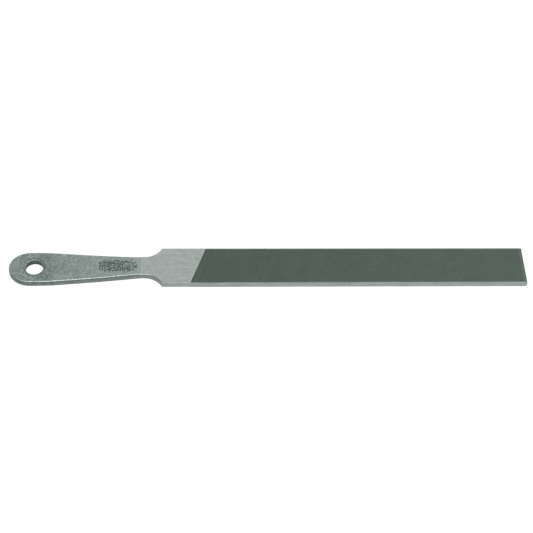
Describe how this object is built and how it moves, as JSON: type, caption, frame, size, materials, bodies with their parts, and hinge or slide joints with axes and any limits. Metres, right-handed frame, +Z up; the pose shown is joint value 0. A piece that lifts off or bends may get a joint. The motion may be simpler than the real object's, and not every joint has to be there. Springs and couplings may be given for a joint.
{
  "type": "farrier rasp",
  "caption": "Flat steel rasp with an integral forged handle, a hanging hole, smooth edges, a double-cut file face and a rasp face.",
  "frame": {"origin": "under the middle of the outline, at the height of the rasp teeth's tips, on which the tool lies", "axes": "+X from the butt of the handle to the point, +Z up out of the file-cut face, along the hanging hole's axis"},
  "size_m": [0.283, 0.0234, 0.0046],
  "materials": {
    "forged_steel": "forged and tumbled, satin grey",
    "ground_steel": "fine ground, satin",
    "edge_steel": "fine ground along the edge, satin",
    "file_cut_steel": "hardened double-cut teeth, dark grey-green",
    "rasp_cut_steel": "hardened rasp teeth, dark grey-green"
  },
  "bodies": {
    "root": {"handle": "forged_steel", "heel": "ground_steel", "blade": "edge_steel", "upper_cut": "file_cut_steel", "lower_cut": "rasp_cut_steel"}
  },
  "joints": []
}
